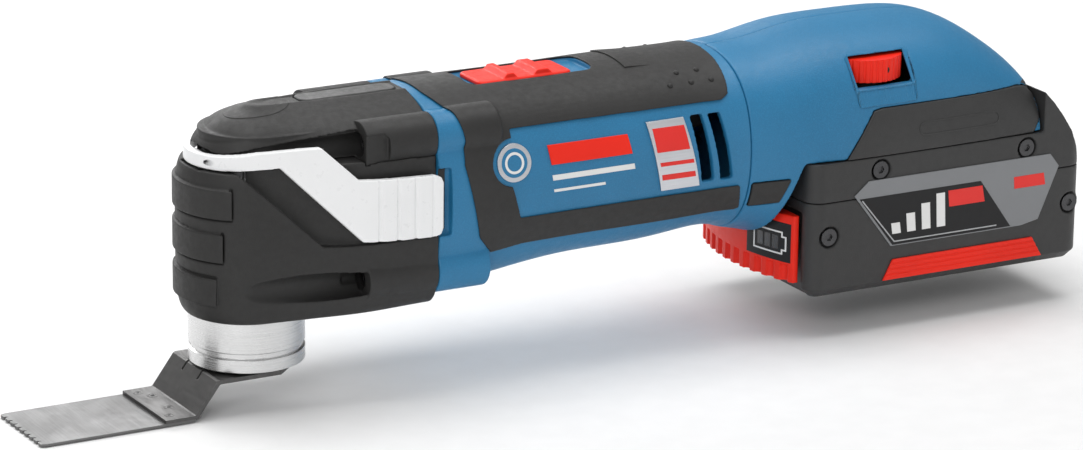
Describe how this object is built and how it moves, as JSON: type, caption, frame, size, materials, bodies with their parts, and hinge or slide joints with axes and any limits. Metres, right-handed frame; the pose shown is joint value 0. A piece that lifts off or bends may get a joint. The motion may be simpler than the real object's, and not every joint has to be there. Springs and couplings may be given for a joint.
{
  "type": "cordless oscillating multi tool",
  "caption": "Battery oscillating multi tool with a plunge saw blade, tool-free clamping bow, slide switch, speed dial and slide-on battery pack.",
  "frame": {"origin": "centre of the accessory collar's lower rim, on the output spindle's axis", "axes": "+Z along the spindle, up through the head; -X forward along the saw blade, +X back along the body to the battery; Y across the tool"},
  "size_m": [0.397, 0.0762, 0.1061],
  "materials": {
    "blue_plastic": "fine moulded grain, satin",
    "soft_grip": "soft moulded grip, fine texture",
    "black_plastic": "fine moulded grain",
    "red_plastic": "smooth moulded",
    "lever_paint": "silver coating, satin",
    "collar_metal": "turned and brushed",
    "cast_case": "die cast",
    "machined_steel": "machined, satin",
    "carrier_steel": "dark oxide",
    "blade_steel": "ground, lightly stained",
    "badge_metal": "satin plate",
    "screw_steel": "black oxide",
    "silver_screw": "zinc plated",
    "copper_wire": "enamelled wire",
    "laminations": "stacked sheet",
    "contact_brass": "tinned",
    "label_film": "printed film",
    "board_green": "solder mask",
    "cell_wrap": "shrink sleeve"
  },
  "bodies": {
    "housing": {"head_cover": "soft_grip", "top_cap": "soft_grip", "cap_plate": "black_plastic", "lever_bracket": "machined_steel", "lever_pin": "machined_steel", "gear_case": "cast_case", "collar_ring": "collar_metal", "dust_seal": "soft_grip", "spindle_lower_bearing": "machined_steel", "spindle_upper_bearing": "machined_steel", "motor_housing": "blue_plastic", "grip_overmold": "soft_grip", "emblem_discs": "badge_metal", "badge_plates": "badge_metal", "head_screws": "screw_steel", "motor_stator": "laminations", "stator_windings": "copper_wire", "motor_front_bearing": "machined_steel", "motor_rear_bearing": "machined_steel", "bearing_bridge": "black_plastic", "switch_unit": "black_plastic", "rear_housing_left": "blue_plastic", "rear_housing_right": "blue_plastic", "side_grips": "soft_grip", "rail_carrier": "black_plastic", "contact_block": "black_plastic", "contact_blades": "contact_brass", "dial_potentiometer": "black_plastic", "electronics_board": "board_green", "board_parts": "black_plastic", "housing_screws": "screw_steel"},
    "spindle": {"spindle": "machined_steel", "fork_rocker": "machined_steel", "tool_holder": "machined_steel", "clamp_collet": "machined_steel", "clamp_springs": "machined_steel"},
    "plunger": {"clamp_plunger": "machined_steel"},
    "accessory": {"clamp_bolt": "machined_steel", "blade_carrier": "carrier_steel", "saw_blade": "blade_steel"},
    "lever": {"clamp_lever": "lever_paint"},
    "rotor": {"motor_shaft": "machined_steel", "rotor_core": "laminations", "cooling_fan": "black_plastic", "eccentric": "machined_steel", "eccentric_bearing": "machined_steel"},
    "switch": {"switch_slider": "red_plastic", "switch_rod": "black_plastic"},
    "dial": {"speed_dial": "red_plastic"},
    "battery": {"battery_lower_shell": "black_plastic", "battery_upper_shell": "black_plastic", "battery_screws": "silver_screw", "side_labels": "label_film", "side_strips": "red_plastic", "battery_cells": "cell_wrap", "cell_holders": "black_plastic", "pack_board": "board_green", "pack_terminals": "contact_brass"},
    "latch": {"battery_latch": "red_plastic", "latch_springs": "machined_steel"}
  },
  "joints": [
    {"name": "tool_oscillation", "type": "hinge", "parent": "housing", "child": "spindle", "pos_m": [0, 0, 0], "axis": [0, 0, 1], "range_deg": [-1.4, 1.4]},
    {"name": "accessory_removal", "type": "slide", "parent": "spindle", "child": "accessory", "axis": [0, 0, -1], "range_m": [0, 0.06]},
    {"name": "clamp_lever_swing", "type": "hinge", "parent": "housing", "child": "lever", "pos_m": [-0.0181, 0, 0.0722], "axis": [0, -1, 0], "range_deg": [0, 100]},
    {"name": "clamp_release", "type": "slide", "parent": "spindle", "child": "plunger", "axis": [0, 0, -1], "range_m": [0, 0.0021]},
    {"name": "motor_spin", "type": "hinge", "parent": "housing", "child": "rotor", "pos_m": [0.09, 0, 0.054], "axis": [1, 0, 0], "continuous": true},
    {"name": "power_switch", "type": "slide", "parent": "housing", "child": "switch", "axis": [-1, 0, 0], "range_m": [0, 0.004]},
    {"name": "speed_dial_turn", "type": "hinge", "parent": "housing", "child": "dial", "pos_m": [0.2312, -0.0186, 0.078], "axis": [0, 0, 1], "range_deg": [0, 270]},
    {"name": "battery_removal", "type": "slide", "parent": "housing", "child": "battery", "axis": [1, 0, 0], "range_m": [0, 0.11]},
    {"name": "battery_release", "type": "slide", "parent": "battery", "child": "latch", "axis": [1, 0, 0], "range_m": [0, 0.0025], "stiffness_N_per_m": 400, "springref_m": -0.003}
  ],
  "couplings": [
    {"joint": "clamp_release", "follows": "clamp_lever_swing", "m_per_rad": 0.001}
  ]
}
